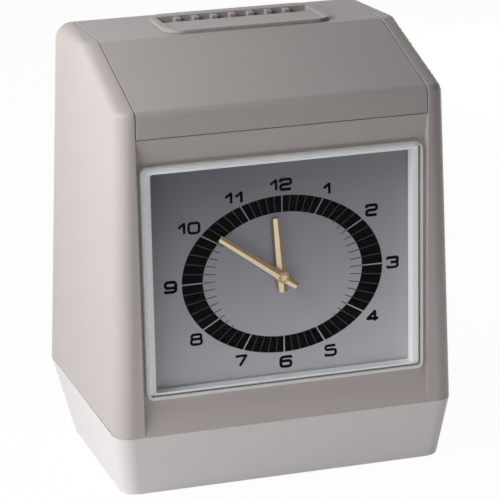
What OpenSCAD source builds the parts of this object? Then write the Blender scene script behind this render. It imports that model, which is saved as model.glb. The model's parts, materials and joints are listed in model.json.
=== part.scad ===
// Time clock: moulded desk case with a hinged lid, a dial behind a clear lens, the movement
// that turns the hands, and the card chute with its printing works. Millimetres, +Z up, the
// front faces -Y, the feet stand on z = 0 and the origin is below the middle of the case.

/* [Case] */
// Width of the case at its crease, where it is widest
case_w = 241; // [236:1:256]
// Width of the case at the top
top_w = 227; // [222:1:232]
// Width of the case at its lower edge
foot_w = 229; // [226:1:234]
// Depth of the case at its crease
case_d = 195; // [191:1:210]
// Depth of the case at the top
top_d = 170; // [168:1:176]
// Height of the flat top
top_h = 297; // [294:1:306]
// Height of the crease
crease_h = 45; // [40:1:48]
// How far the lower front edge stands back
foot_front = 9; // [4:1:12]
// Distance from the front to the lower rear edge
foot_back = 153; // [146:1:158]
// Height at which the front turns into the slope
slope_h = 268; // [266:1:271]
// Distance from the front to the rear end of the slope
slope_d = 89; // [80:1:90]
// Radius of the case's rounded upright edges and of its rear top edge
edge_r = 12; // [10:0.5:13]
// Radius of the edges round the slope and the flat top
top_r = 5; // [4.5:0.5:7]
// Wall of the case
wall = 3; // [2.5:0.25:3.5]
// Height of the case's lower edge above the table
case_lift = 1.5; // [1:0.25:2.5]

/* [Front panel] */
// Width of the recess between the cheeks
recess_w = 202; // [200:0.5:204]
// Depth of the recess
recess_d = 6; // [5:0.5:7]
// Thickness of the recessed panel
panel_t = 3; // [2.5:0.25:4]
// Height of the seam under the lid
seam_h = 250; // [248:0.5:251]
// Height of the ramp at each end of the recess
ramp_h = 18; // [14:1:19]

/* [Lens and dial] */
// Width of the lens
lens_w = 195.6; // [190:0.2:196]
// Height of the lens
lens_h = 159.6; // [154:0.2:160]
// Height of the lens's centre
lens_z = 150.3; // [149:0.1:151]
// Wall of the lens
lens_t = 2; // [1.6:0.1:2.4]
// Width of the raised bead round the lens
bead_w = 3.8; // [3:0.1:4.5]
// Width of the opening in the dial surround
aperture_w = 182.4; // [178:0.2:184]
// Height of the opening in the dial surround
aperture_h = 151; // [146:0.5:151]
// Distance from the front to the face of the dial
dial_y = 12.2; // [11.8:0.2:13]
// Thickness of the dial plate
dial_t = 1.2; // [1:0.1:1.4]
// Height of the hands' axis
hand_z = 144.5; // [144:0.5:148]
// Length of the minute hand
minute_len = 54; // [48:1:58]
// Length of the hour hand
hour_len = 43; // [36:1:45]

/* [Lid and card inlet] */
// Wall of the lid
lid_t = 2.5; // [2:0.25:3]
// Clearance between the lid and the cheeks
lid_gap = 0.4; // [0.3:0.1:0.6]
// Depth of the rim along the lid's sides
lid_rim = 9; // [7:0.5:9]
// Radius of the hinge pins
hinge_pin_r = 2; // [1.5:0.25:2.5]
// Sideways place of the card inlet and of the works below it
card_x = 8; // [4:1:9]
// Width of the card inlet's lip
inlet_w = 120; // [116:1:122]
// Distance from the front to the inlet's front lip
inlet_y = 93; // [92.5:0.5:95]
// Depth of the card inlet, front to back
inlet_d = 58; // [56:1:59]
// Height of the lip above the lid
lip_h = 2.5; // [2:0.25:3]
// Distance from the front to the front of the card slot
slot_y = 130; // [128:0.5:131]
// Clear depth of the card slot
slot_d = 6; // [5.5:0.25:6.5]
// Clear width of the card slot
slot_w = 106; // [102:1:107]
// Number of guide ribs at the back of the slot
rib_n = 7; // [5:1:9]

/* [Movement] */
// Radius of the minute arbor
arbor_r = 2; // [1.6:0.1:2.2]
// Width and height of the movement's plates
move_w = 92; // [90:1:100]
// Thickness of the movement's plates
move_t = 2; // [1.5:0.25:2]
// Distance between the movement's plates
move_gap = 26; // [24:1:30]
// Tooth module of the motion work
motion_m = 0.75; // [0.7:0.01:0.76]
// Tooth module of the drive
drive_m = 0.8; // [0.75:0.01:0.85]
// Radius of the motor
motor_r = 25; // [22:1:27]
// Length of the motor
motor_l = 22; // [18:1:24]

/* [Printing works] */
// Distance between the chassis plates
chassis_gap = 136; // [134:1:140]
// Thickness of the chassis and chute plates
plate_t = 2; // [1.5:0.25:2]
// Height of the print line
print_z = 214.5; // [210:0.5:216]
// Radius of the type wheels over their type
type_r = 14; // [12:0.5:14]
// Radius of the type shaft
type_shaft_r = 2.5; // [2:0.25:3]
// Number of types on each type wheel
type_n = 24; // [12:1:30]
// Radius of the ribbon spools
spool_r = 16; // [14:0.5:16]
// Height of the ribbon
ribbon_h = 12.7; // [10:0.1:13]
// Height of the card stop's upper face
stop_z = 104; // [100:1:106]

/* [Base] */
// Thickness of the base plate
base_t = 2; // [1.5:0.25:2.5]
// Height of the feet
foot_h = 3; // [2.75:0.25:3]
// Radius of the feet
foot_r = 9; // [7:0.5:10]
// Radius of the fixing holes in the base plate
fix_r = 2.3; // [2:0.1:3]

/* [Hidden] */
$fn = 48;
// running clearance of a shaft in its bore
run = 0.05;
// clearance between moving bodies and between loose fits
clear = 0.3;
eps = 0.02;
lens_gap = 0.3;

slope_a = atan((top_h - slope_h) / slope_d);
back_a = atan((case_d - top_d) / (top_h - crease_h));
base_z = foot_h;
base_top = base_z + base_t;

// centres of the rounded edges across the case's profile
slope_off = top_r + (edge_r - top_r) * sin(slope_a);
ctr_front = [edge_r, slope_h + edge_r * tan(slope_a) - slope_off / cos(slope_a)];
ctr_top = [(top_h - top_r - slope_h + slope_off / cos(slope_a)) / tan(slope_a),
    top_h - top_r];
ctr_back = [top_d + edge_r * tan(back_a) - edge_r / cos(back_a), top_h - edge_r];
hinge_y = ctr_back[0];
hinge_z = ctr_back[1];
lid_w = recess_w - 2 * lid_gap;

panel_back = recess_d + panel_t;
lens_back = panel_back;
flange_t = 1.4;
surround_y = 3.7;
retainer_y = dial_y + dial_t;
retainer_t = 2;
flange_w = lens_w + 7.4;
flange_h = lens_h + 7.4;
retainer_screw_x = 84;
retainer_screw_z = flange_h / 2 + 7;

move_y = retainer_y + retainer_t + 6.6;
move_back = move_y + move_t + move_gap;
great_n = 60;
motor_pinion_n = 12;
motor_z = hand_z - drive_m * (great_n + motor_pinion_n) / 2;
cannon_n = 12;
motion_n = 36;
motion_pinion_n = 10;
hour_n = 40;
motion_d = motion_m * (cannon_n + motion_n) / 2;
hour_m = 2 * motion_d / (motion_pinion_n + hour_n);
hour_wheel_y = retainer_y + retainer_t + 1;
motion_y = hour_wheel_y + 1.8;
pipe_r = arbor_r + run + 1.1;
minute_hand_y = 5.4;
hour_hand_y = 7.7;
great_y = move_y + move_t + 4;

slot_back = slot_y + slot_d;
chassis_x = chassis_gap / 2;
chute_top = top_h - lid_t - 12;
type_y = slot_y - plate_t - 3.5 - type_r;
deck_t = 1.5;
deck_z = print_z - ribbon_h / 2 - 1.5;
spool_x = 46;
spool_y = type_y + type_r - spool_r + 0.6;
hammer_y = slot_back + plate_t + 9;
hammer_z = print_z - 25;
lever_y = slot_back + plate_t + 9;
lever_z = stop_z + 14;
lock_y = 60;
lock_z = 236;
lock_r = 8;
cover_w = 184;
cover_h = 214;
cover_top = 24;
cover_t = 1.5;

// Everything is placed from the front face of the case and moved to the origin here
module placed() {
    translate([0, -case_d / 2, 0])
        children();
}

// Half the width of the case at a height above the crease
function half_w(z) = case_w / 2 + (top_w - case_w) / 2 * (z - crease_h) / (top_h - crease_h);

// Distance from the front to the outside of the rear wall at a height above the crease
function rear_y(z) = top_d + (top_h - z) * tan(back_a);

// A rod along Y between two distances from the front
module rod_y(r, y0, y1, x = 0, z = 0) {
    translate([x, y1, z])
        rotate([90, 0, 0])
            cylinder(r = r, h = y1 - y0);
}

// A rod along X between two sideways places
module rod_x(r, x0, x1, y = 0, z = 0) {
    translate([x0, y, z])
        rotate([0, 90, 0])
            cylinder(r = r, h = x1 - x0);
}

// A flat outline in X and Z, thickened from y0 to y1
module slab(y0, y1) {
    translate([0, y1, 0])
        rotate([90, 0, 0])
            linear_extrude(height = y1 - y0)
                children();
}

// A rectangle with round corners about the origin
module round_rect(w, h, r) {
    square([w - 2 * r, h], center = true);
    square([w, h - 2 * r], center = true);
    for (sx = [-1, 1], sy = [-1, 1])
        translate([sx * (w / 2 - r), sy * (h / 2 - r)])
            circle(r = r);
}

// One level of the case: a thin plate with round corners
module case_level(w, y0, y1, z, inset) {
    r = edge_r - inset;
    for (sx = [-1, 1], y = [y0 + edge_r, y1 - edge_r])
        translate([sx * (w / 2 - edge_r), y, z])
            cylinder(r = r, h = eps, $fn = 48);
}

// A disc with a rounded rim, which rounds the upright edges more than the edges of the top
module corner_disc(inset) {
    rotate_extrude($fn = 48)
        intersection() {
            translate([edge_r - top_r, 0])
                circle(r = top_r - inset, $fn = 24);
            translate([0, -edge_r])
                square([edge_r, 2 * edge_r]);
        }
}

// The whole rounded form of the case, drawn in by inset
module case_form(inset = 0) {
    hull() {
        case_level(foot_w, foot_front, foot_back, inset > 0 ? 0 : case_lift, inset);
        case_level(case_w, 0, case_d, crease_h, inset);
        for (sx = [-1, 1]) {
            for (c = [ctr_front, ctr_top])
                translate([sx * (half_w(c[1]) - edge_r), c[0], c[1]])
                    corner_disc(inset);
            translate([sx * (half_w(ctr_back[1]) - edge_r), ctr_back[0], ctr_back[1]])
                sphere(r = edge_r - inset, $fn = 48);
        }
    }
}

// Places its children on the leaning rear wall: y = 0 is the outside, z counts from the top
module on_back() {
    translate([0, top_d, top_h])
        rotate([back_a, 0, 0])
            children();
}

// A gear with straight-flanked teeth, centred on its axis
module gear(n, m, h, turn = 0) {
    root = m * (n / 2 - 1.15);
    tip = m * (n / 2 + 0.8);
    step = 360 / n;
    linear_extrude(height = h)
        rotate(turn)
            union() {
                circle(r = root);
                for (i = [0 : n - 1])
                    rotate(i * step)
                        polygon([
                            [root - 0.2, -m * 0.82], [tip, -m * 0.34],
                            [tip, m * 0.34], [root - 0.2, m * 0.82]]);
            }
}

// A gear on an axis along Y, its front at y
module gear_y(n, m, y, t, x, z, turn = 0) {
    translate([x, y + t, z])
        rotate([90, 0, 0])
            gear(n, m, t, turn);
}

// A screw along an axis given by its children's frame: head up, shank down
module screw(r, l, head_r = 3, head_h = 1.4) {
    cylinder(r = r, h = l);
    translate([0, 0, l])
        difference() {
            cylinder(r = head_r, h = head_h);
            translate([0, 0, head_h / 2])
                cube([head_r * 3, 0.9, head_h], center = true);
        }
}

boss_x = foot_w / 2 - 16;
boss_y = [foot_front + 17, foot_back - 18];
boss_r = 5;
boss_top = crease_h - 8;
// web from a post to the middle of the wall beside it, whose foot and crease widths can differ
boss_web = (foot_w + (case_w - foot_w) * base_top / crease_h) / 2 - wall / 2 - boss_x;

// Four posts inside the lower case that the base plate is screwed to
module case_bosses() {
    for (sx = [-1, 1], y = boss_y)
        translate([sx * boss_x, y, base_top]) {
            cylinder(r = boss_r, h = boss_top - base_top);
            translate([sx > 0 ? 0 : -boss_web, -wall / 2, 0])
                cube([boss_web, wall, boss_top - base_top]);
        }
}

// The recess in front of the panel, seen from the side
module recess_cut() {
    rotate([90, 0, 90])
        linear_extrude(height = recess_w, center = true)
            polygon([
                [-1, crease_h + 1], [0, crease_h + 1],
                [recess_d, crease_h + 1 + ramp_h + 4],
                [recess_d, seam_h - ramp_h], [0, seam_h], [-1, seam_h]]);
}

module case_shell() {
    color([0.74, 0.71, 0.68]) placed() difference() {
        union() {
            difference() {
                case_form(0);
                case_form(wall);
            }
            intersection() {
                case_form(0.01);
                translate([-recess_w / 2 - wall, 0, crease_h + 1])
                    cube([recess_w + 2 * wall, panel_back, seam_h - crease_h - 1]);
            }
            case_bosses();
        }
        recess_cut();
        // opening for the lid, with a hollow seat for its rolled rear edge
        translate([-recess_w / 2, -1, seam_h])
            cube([recess_w, hinge_y + 1, top_h]);
        translate([-recess_w / 2, hinge_y - 1, hinge_z])
            cube([recess_w, 40, 40]);
        rod_x(edge_r + 0.4, -recess_w / 2, recess_w / 2, hinge_y, hinge_z);
        // opening for the lens
        slab(-1, panel_back + 1)
            translate([0, lens_z])
                round_rect(lens_w + 2 * lens_gap, lens_h + 2 * lens_gap, 4.3);
        // stepped opening for the rear cover
        on_back() {
            translate([-cover_w / 2 - clear, -cover_t, -cover_top - cover_h - 2 * clear])
                cube([cover_w + 2 * clear, 10, cover_h + 2 * clear]);
            translate([-cover_w / 2 + 4, -12, -cover_top - cover_h + 4])
                cube([cover_w - 8, 20, cover_h - 8]);
        }
        // open underside
        translate([-case_w, -10, -1])
            cube([2 * case_w, 2 * case_d, case_lift + 1]);
        // screw holes in the posts
        for (sx = [-1, 1], y = boss_y)
            translate([sx * boss_x, y, base_top - 1])
                cylinder(r = 1.6, h = 14);
        // hole for the lock
        rod_x(lock_r + clear, half_w(lock_z) - 12, case_w, lock_y, lock_z);
    }
}

// The lid's skin between its two side rims
module lid_body() {
    difference() {
        intersection() {
            case_form(0);
            translate([-lid_w / 2, -1, seam_h + lid_gap])
                cube([lid_w, case_d, top_h]);
        }
        difference() {
            case_form(lid_t);
            for (sx = [-1, 1])
                translate([sx * (lid_w / 2 - 1), case_d / 2, top_h / 2])
                    cube([2, 2 * case_d, 2 * top_h], center = true);
        }
        // the hollow between the side rims
        rotate([90, 0, 90])
            linear_extrude(height = 2 * lid_w, center = true)
                polygon([
                    [lid_rim, 0], [lid_rim, slope_h - lid_rim],
                    [slope_d, top_h - lid_rim - 1], [hinge_y - 7, top_h - lid_rim - 1],
                    [hinge_y - 7, 0]]);
        // the rear stops at the hinge's height
        translate([-lid_w, hinge_y - edge_r, 0])
            cube([2 * lid_w, 60, hinge_z - 5]);
        translate([-lid_w, hinge_y + 5, 0])
            cube([2 * lid_w, 60, hinge_z]);
    }
    // ears that carry the hinge pins
    for (sx = [-1, 1])
        rod_x(5, sx * (lid_w / 2 - 1.5) - 1.5, sx * (lid_w / 2 - 1.5) + 1.5, hinge_y, hinge_z);
}

module lid() {
    color([0.72, 0.69, 0.66]) placed() difference() {
        lid_body();
        rod_x(hinge_pin_r + run, -lid_w, lid_w, hinge_y, hinge_z);
        translate([card_x, inlet_y + inlet_d / 2, top_h - 20])
            linear_extrude(height = 40)
                round_rect(inlet_w - 8, inlet_d - 8, 9);
    }
}

// The card inlet: a raised oblong lip, a sloping floor and the slot with its guide ribs
module card_inlet() {
    neck_d = slot_d + 9;
    rib_d = 5.4;
    pitch = slot_w / (rib_n + 1);
    color([0.70, 0.67, 0.64]) placed() difference() {
        union() {
            translate([card_x, inlet_y + inlet_d / 2, top_h])
                linear_extrude(height = lip_h)
                    round_rect(inlet_w, inlet_d, 13);
            translate([card_x, inlet_y + inlet_d / 2, top_h - lid_t - 4])
                linear_extrude(height = lid_t + 4 + eps)
                    round_rect(inlet_w - 8 - 2 * clear, inlet_d - 8 - 2 * clear, 9 - clear);
            translate([card_x - slot_w / 2 - 2, slot_y - 2, top_h - lid_t - 10])
                cube([slot_w + 4, neck_d + 2, 10]);
        }
        // the sloping floor
        translate([card_x, 0, 0])
            rotate([90, 0, 90])
                linear_extrude(height = slot_w + 4, center = true)
                    polygon([
                        [inlet_y + 5, top_h + lip_h + 1], [inlet_y + 5, top_h - 1],
                        [slot_y + 1, top_h - 4], [slot_back + rib_d, top_h - 4],
                        [slot_back + rib_d, top_h + lip_h + 1]]);
        // the slot, with pockets between the ribs
        translate([card_x - slot_w / 2, slot_y, top_h - 30])
            cube([slot_w, slot_d, 60]);
        for (i = [0 : rib_n])
            translate([card_x - slot_w / 2 + (i + 0.5) * pitch, slot_back - 1, top_h - 30])
                translate([-pitch * 0.34, 0, 0])
                    cube([pitch * 0.68, rib_d + 1, 60]);
    }
    color([0.70, 0.67, 0.64]) placed() for (i = [1 : rib_n])
        translate([card_x - slot_w / 2 + i * pitch - pitch * 0.16, slot_back, top_h - 4.5])
            cube([pitch * 0.32, rib_d, 4.5 + lip_h * 0.6]);
}

module hinge_brackets() {
    bracket_t = 3;
    color("silver") placed() for (sx = [-1, 1]) difference() {
        intersection() {
            translate([sx > 0 ? recess_w / 2 + clear : -recess_w / 2 - clear - bracket_t,
                hinge_y - 14, hinge_z - 6])
                cube([bracket_t, 19, edge_r + 6]);
            case_form(wall);
        }
        rod_x(hinge_pin_r, -case_w, case_w, hinge_y, hinge_z);
    }
}

module hinge_pins() {
    color("silver") placed() for (sx = [-1, 1])
        rod_x(hinge_pin_r, sx > 0 ? lid_w / 2 - 5 : -recess_w / 2 - clear - 3,
            sx > 0 ? recess_w / 2 + clear + 3 : -lid_w / 2 + 5, hinge_y, hinge_z);
}

module lens() {
    front = 0.4;
    color([0.85, 0.88, 0.9, 0.35]) placed() difference() {
        union() {
            slab(front, lens_back + flange_t)
                translate([0, lens_z])
                    round_rect(lens_w, lens_h, 4);
            slab(lens_back, lens_back + flange_t)
                translate([0, lens_z])
                    round_rect(flange_w, flange_h, 5);
        }
        slab(front - 1, front + 1.1)
            translate([0, lens_z])
                round_rect(lens_w - 2 * bead_w, lens_h - 2 * bead_w, 3);
        slab(surround_y - 0.1, lens_back + 5)
            translate([0, lens_z])
                round_rect(lens_w - 2 * lens_t, lens_h - 2 * lens_t, 2.5);
    }
}

module dial_surround() {
    color([0.93, 0.93, 0.92]) placed() difference() {
        union() {
            slab(surround_y, dial_y)
                translate([0, lens_z])
                    round_rect(lens_w - 2 * lens_t - 0.8, lens_h - 2 * lens_t - 0.8, 2.2);
            slab(lens_back + flange_t, dial_y)
                translate([0, lens_z])
                    round_rect(flange_w, flange_h, 5);
        }
        slab(surround_y - 1, dial_y + 1)
            translate([0, lens_z - 0.6])
                round_rect(aperture_w, aperture_h, 1.5);
    }
}

module dial_plate() {
    color([0.62, 0.64, 0.67]) placed() difference() {
        slab(dial_y, dial_y + dial_t)
            translate([0, lens_z])
                round_rect(flange_w - 3, flange_h - 3, 3);
        rod_y(pipe_r + 1, dial_y - 1, dial_y + dial_t + 1, 0, hand_z);
    }
}

module dial_retainer() {
    color("lightsteelblue") placed() difference() {
        union() {
            slab(retainer_y, retainer_y + retainer_t)
                translate([0, lens_z])
                    round_rect(flange_w, flange_h + 22, 5);
            for (sx = [-1, 1], sz = [-1, 1])
                rod_y(4, panel_back, retainer_y + eps, sx * retainer_screw_x,
                    lens_z + sz * retainer_screw_z);
        }
        rod_y(8, 0, 40, 0, hand_z);
        for (sx = [-1, 1], sz = [-1, 1])
            rod_y(1.7, 0, 40, sx * retainer_screw_x, lens_z + sz * retainer_screw_z);
    }
}

module retainer_screws() {
    color("silver") placed() for (sx = [-1, 1], sz = [-1, 1])
        translate([sx * retainer_screw_x, panel_back, lens_z + sz * retainer_screw_z])
            rotate([-90, 0, 0])
                screw(1.5, retainer_y + retainer_t - panel_back);
}

// A hand that points straight up: a long ridged blade with a short tail and a round eye
module hand(len, tail, w_tail, w_eye, w_tip, eye_r) {
    ridge = 1.1;
    difference() {
        union() {
            hull()
                for (s = [[-tail, w_tail], [0, w_eye], [len - eps, w_tip]])
                    translate([0, 0, s[0]])
                        linear_extrude(height = eps)
                            polygon([[-s[1] / 2, 0], [s[1] / 2, 0], [0, -ridge]]);
            rod_y(eye_r, -0.9, 0);
        }
        rod_y(arbor_r, -9, 9);
    }
}

module hour_hand() {
    color([0.72, 0.58, 0.34]) placed()
        translate([0, hour_hand_y + 1.1, hand_z])
            difference() {
                rotate([0, hour_angle, 0])
                    hand(hour_len, 11, 6, 7.2, 5.4, 4.6);
                rod_y(pipe_r, -9, 9);
            }
}

// Hands shown at nine minutes to twelve
hour_angle = -4.5;
minute_angle = -54;

module minute_hand() {
    color([0.72, 0.58, 0.34]) placed()
        translate([0, minute_hand_y + 1.1, hand_z])
            rotate([0, minute_angle, 0])
                hand(minute_len, 12, 5, 6.2, 4.4, 3.8);
}

module minute_arbor() {
    color("goldenrod") placed() {
        rod_y(arbor_r, minute_hand_y - 0.4, move_back + move_t + 1.5, 0, hand_z);
        gear_y(cannon_n, motion_m, motion_y, 1.6, 0, hand_z, 0);
    }
}

module hour_wheel() {
    color("gold") placed() difference() {
        union() {
            gear_y(hour_n, hour_m, hour_wheel_y, 1.2, 0, hand_z, 180 / hour_n);
            rod_y(pipe_r, hour_hand_y - 0.2, hour_wheel_y + 1.2, 0, hand_z);
        }
        rod_y(arbor_r + run, 0, 60, 0, hand_z);
    }
}

// The intermediate wheel of the motion work, a quarter turn to the left of the hands
module motion_wheel() {
    color("gold") placed() difference() {
        union() {
            gear_y(motion_pinion_n, hour_m, hour_wheel_y - 0.2, 2.2, -motion_d, hand_z, 0);
            gear_y(motion_n, motion_m, motion_y + 0.1, 1.4, -motion_d, hand_z,
                180 / motion_n);
        }
        rod_y(1.5 + run, 0, 60, -motion_d, hand_z);
    }
}

module motion_stud() {
    color("silver") placed() {
        rod_y(1.5, hour_wheel_y - 0.6, move_y + move_t / 2, -motion_d, hand_z);
        rod_y(2.6, motion_y + 2, move_y, -motion_d, hand_z);
    }
}

module great_wheel() {
    color("gold") placed() difference() {
        union() {
            gear_y(great_n, drive_m, great_y, 2, 0, hand_z, 0);
            rod_y(5, great_y, great_y + 6, 0, hand_z);
        }
        rod_y(arbor_r, 0, 90, 0, hand_z);
        for (i = [0 : 4])
            translate([0, 0, hand_z])
                rotate([0, i * 72, 0])
                    rod_y(5, great_y - 1, great_y + 3, 0, 13);
    }
}

pillar = move_w / 2 - 6;

module movement_front_plate() {
    color("darkkhaki") placed() difference() {
        slab(move_y, move_y + move_t)
            translate([0, hand_z])
                round_rect(move_w, move_w, 6);
        rod_y(arbor_r + run, 0, 90, 0, hand_z);
        rod_y(1.5, 0, 90, -motion_d, hand_z);
        rod_y(4, 0, 90, 0, motor_z);
    }
}

module movement_back_plate() {
    color("darkkhaki") placed() difference() {
        slab(move_back, move_back + move_t)
            translate([0, hand_z])
                round_rect(move_w, move_w, 6);
        rod_y(arbor_r + run, 0, 90, 0, hand_z);
        rod_y(5, 0, 90, 0, motor_z);
    }
}

module movement_pillars() {
    color("silver") placed() for (sx = [-1, 1], sz = [-1, 1]) {
        rod_y(3, retainer_y + retainer_t, move_y, sx * pillar, hand_z + sz * pillar);
        rod_y(3, move_y + move_t, move_back, sx * pillar, hand_z + sz * pillar);
        rod_y(2.4, move_back + move_t, move_back + move_t + 2.4, sx * pillar,
            hand_z + sz * pillar);
    }
}

module motor_can() {
    y0 = move_back + move_t;
    color("silver") placed() difference() {
        union() {
            rod_y(motor_r, y0, y0 + motor_l, 0, motor_z);
            rod_y(motor_r + 1.5, y0 + 3, y0 + 4.2, 0, motor_z);
            rod_y(8, y0 + motor_l, y0 + motor_l + 2, 0, motor_z);
            translate([-7, y0 + 6, motor_z - motor_r - 5])
                cube([14, 12, 8]);
        }
        rod_y(arbor_r + 1.5, y0 - 1, y0 + 3, 0, hand_z);
        rod_y(1.5 + run, y0 - 1, y0 + 12, 0, motor_z);
    }
}

module motor_pinion() {
    color("goldenrod") placed() {
        rod_y(1.5, great_y - 2, move_back + move_t + 10, 0, motor_z);
        gear_y(motor_pinion_n, drive_m, great_y - 0.5, 3, 0, motor_z, 180 / motor_pinion_n);
    }
}

fix_x = 150;
fix_y = 84;

module base_plate() {
    plate_w = foot_w - 2 * wall - 2 * clear;
    y0 = foot_front + wall + clear;
    y1 = foot_back - 0.6;
    color("lightsteelblue") placed() difference() {
        translate([0, (y0 + y1) / 2, base_z])
            linear_extrude(height = base_t)
                round_rect(plate_w, y1 - y0, edge_r - wall);
        for (sx = [-1, 1], y = boss_y)
            translate([sx * boss_x, y, base_z - 1])
                cylinder(r = 1.8, h = base_t + 2);
        for (sx = [-1, 1], sy = [-1, 1])
            translate([sx * fix_x / 2, (foot_front + foot_back) / 2 + sy * fix_y / 2,
                base_z - 1])
                cylinder(r = fix_r, h = base_t + 2);
    }
}

module base_screws() {
    color("silver") placed() for (sx = [-1, 1], y = boss_y)
        translate([sx * boss_x, y, base_z])
            rotate([180, 0, 0])
                translate([0, 0, -12])
                    screw(1.5, 12, 3.2, 1.6);
}

module feet() {
    color([0.15, 0.15, 0.15]) placed()
        for (sx = [-1, 1], y = [foot_front + 38, foot_back - 38])
            translate([sx * (boss_x - 4), y, 0])
                cylinder(r1 = foot_r - 1, r2 = foot_r, h = foot_h);
}

module rear_cover() {
    color([0.3, 0.3, 0.31]) placed() on_back() difference() {
        translate([-cover_w / 2, -cover_t, -cover_top - cover_h])
            cube([cover_w, cover_t, cover_h]);
        // cooling slots
        for (i = [0 : 7])
            translate([-40, -5, -cover_top - 34 - i * 9])
                cube([80, 10, 4]);
        for (sx = [-1, 1], z = [8, cover_h / 2, cover_h - 6])
            rod_y(1.8, -9, 9, sx * (cover_w / 2 - 2.2 - 4), -cover_top - z);
        rod_y(gland_r, -9, 9, gland_x, gland_z);
    }
}

gland_x = -60;
gland_z = -cover_top - cover_h + 24;
gland_r = 6;
gland_bore = 3.6;

module rear_screws() {
    color("silver") placed() on_back()
        for (sx = [-1, 1], z = [8, cover_h / 2, cover_h - 6])
            translate([sx * (cover_w / 2 - 6.2), -3.6, -cover_top - z])
                rotate([-90, 0, 0])
                    screw(1.5, 3.6, 2.4, 0.9);
}

module cable_gland() {
    color([0.12, 0.12, 0.12]) placed() on_back() difference() {
        union() {
            rod_y(gland_r, -cover_t - 6, 1.5, gland_x, gland_z);
            rod_y(gland_r + 2.2, 0, 1.5, gland_x, gland_z);
            rod_y(gland_r + 2.2, -cover_t - 2.5, -cover_t, gland_x, gland_z);
        }
        rod_y(gland_bore, -20, 20, gland_x, gland_z);
    }
}

// A chassis plate in Y and Z that carries the chute and the printing works
module chassis_plate(x) {
    translate([x, 0, 0])
        rotate([90, 0, 90])
            linear_extrude(height = plate_t)
                difference() {
                    polygon([
                        [84, base_top], [140, base_top], [150, base_top + 24], [150, 230],
                        [142, chute_top], [120, chute_top], [94, 236], [94, 130],
                        [84, 100]]);
                    translate([112, 70])
                        circle(r = 16);
                    translate([112, 160])
                        circle(r = 12);
                }
    translate([x > 0 ? x : x - 8 + plate_t, 88, base_top])
        cube([8, 48, plate_t]);
}

module chassis_left() {
    color("lightsteelblue") placed() chassis_plate(card_x - chassis_x - plate_t);
}

module chassis_right() {
    color("lightsteelblue") placed() chassis_plate(card_x + chassis_x);
}

// A chute plate with a window at the print line; its upper end flares away from the card
module chute_plate(y, lean) {
    flare = 4;
    difference() {
        translate([card_x, 0, 0])
            rotate([90, 0, 90])
                linear_extrude(height = chassis_gap, center = true)
                    polygon([
                        [y, stop_z - 10], [y + plate_t, stop_z - 10],
                        [y + plate_t, chute_top - 12], [y + plate_t + lean * flare, chute_top],
                        [y + lean * flare, chute_top], [y, chute_top - 12]]);
        children();
    }
}

module chute_front() {
    color("lightsteelblue") placed() chute_plate(slot_y - plate_t, -1) {
        translate([card_x - 20, slot_y - 8, print_z - 10])
            cube([40, 20, 20]);
    }
}

module chute_back() {
    color("lightsteelblue") placed() chute_plate(slot_back, 1) {
        translate([card_x - 17, slot_back - 8, print_z - 12])
            cube([34, 20, 22]);
        translate([card_x + 40, slot_back - 8, stop_z - 11])
            cube([12, 20, 26]);
    }
}

module card_stop() {
    color("gray") placed()
        translate([card_x - 34, slot_y, stop_z - 6])
            cube([68, slot_d, 6]);
}

module ribbon_deck() {
    depth = slot_y - plate_t - 94;
    color("lightsteelblue") placed() difference() {
        translate([card_x - chassis_x, 94, deck_z - deck_t])
            cube([chassis_gap, depth, deck_t]);
        translate([card_x - 20, 90, deck_z - 5])
            cube([40, 60, 10]);
    }
    color("silver") placed() for (sx = [-1, 1])
        translate([card_x + sx * spool_x, spool_y, deck_z])
            cylinder(r = 3, h = ribbon_h + 4);
}

bearing_x = 24;

module type_bearings() {
    color("lightsteelblue") placed() for (sx = [-1, 1]) difference() {
        translate([card_x + sx * bearing_x - 1, type_y - 7, deck_z])
            cube([2, 14, print_z - deck_z + 7]);
        rod_x(type_shaft_r + run, -90, 90, type_y, print_z);
    }
}

module type_shaft() {
    color("silver") placed()
        rod_x(type_shaft_r, card_x - bearing_x - 4, card_x + bearing_x + 4, type_y, print_z);
}

// A type wheel: a drum with a ring of raised types
module type_wheel(x, w) {
    translate([x, type_y, print_z])
        rotate([0, 90, 0])
            difference() {
                union() {
                    cylinder(r = type_r - 1.5, h = w);
                    for (i = [0 : type_n - 1])
                        rotate(i * 360 / type_n)
                            translate([type_r - 2, -type_r * 0.075, 0.6])
                                cube([1.95, type_r * 0.15, w - 1.2]);
                }
                translate([0, 0, -1])
                    cylinder(r = type_shaft_r + (x < card_x ? 0 : run), h = w + 2);
            }
}

module minute_type_wheel() {
    color("dimgray") placed() type_wheel(card_x - 9, 8);
}

module hour_type_wheel() {
    color("dimgray") placed() type_wheel(card_x + 1, 8);
}

module ratchet_wheel() {
    n = 30;
    r = 10;
    color("silver") placed()
        translate([card_x - 18, type_y, print_z])
            rotate([0, 90, 0])
                linear_extrude(height = 2)
                    difference() {
                        union() {
                            circle(r = r - 1.5);
                            for (i = [0 : n - 1])
                                rotate(i * 360 / n)
                                    polygon([[r - 1.8, -1.1], [r, -0.9], [r - 1.8, 1]]);
                        }
                        circle(r = type_shaft_r);
                    }
}

// A ribbon spool turning on its spindle
module spool(sx) {
    translate([card_x + sx * spool_x, spool_y, deck_z + 0.2])
        difference() {
            union() {
                cylinder(r = spool_r - 0.3, h = 0.9);
                cylinder(r = spool_r * 0.8, h = ribbon_h + 2);
                translate([0, 0, ribbon_h + 2])
                    cylinder(r = spool_r - 0.3, h = 0.9);
            }
            translate([0, 0, -1])
                cylinder(r = 3 + run, h = ribbon_h + 9);
            translate([0, 0, ribbon_h - 3])
                cylinder(r = spool_r * 0.4, h = 9);
        }
}

module spool_left() {
    color("dimgray") placed() spool(-1);
}

module spool_right() {
    color("dimgray") placed() spool(1);
}

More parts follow.
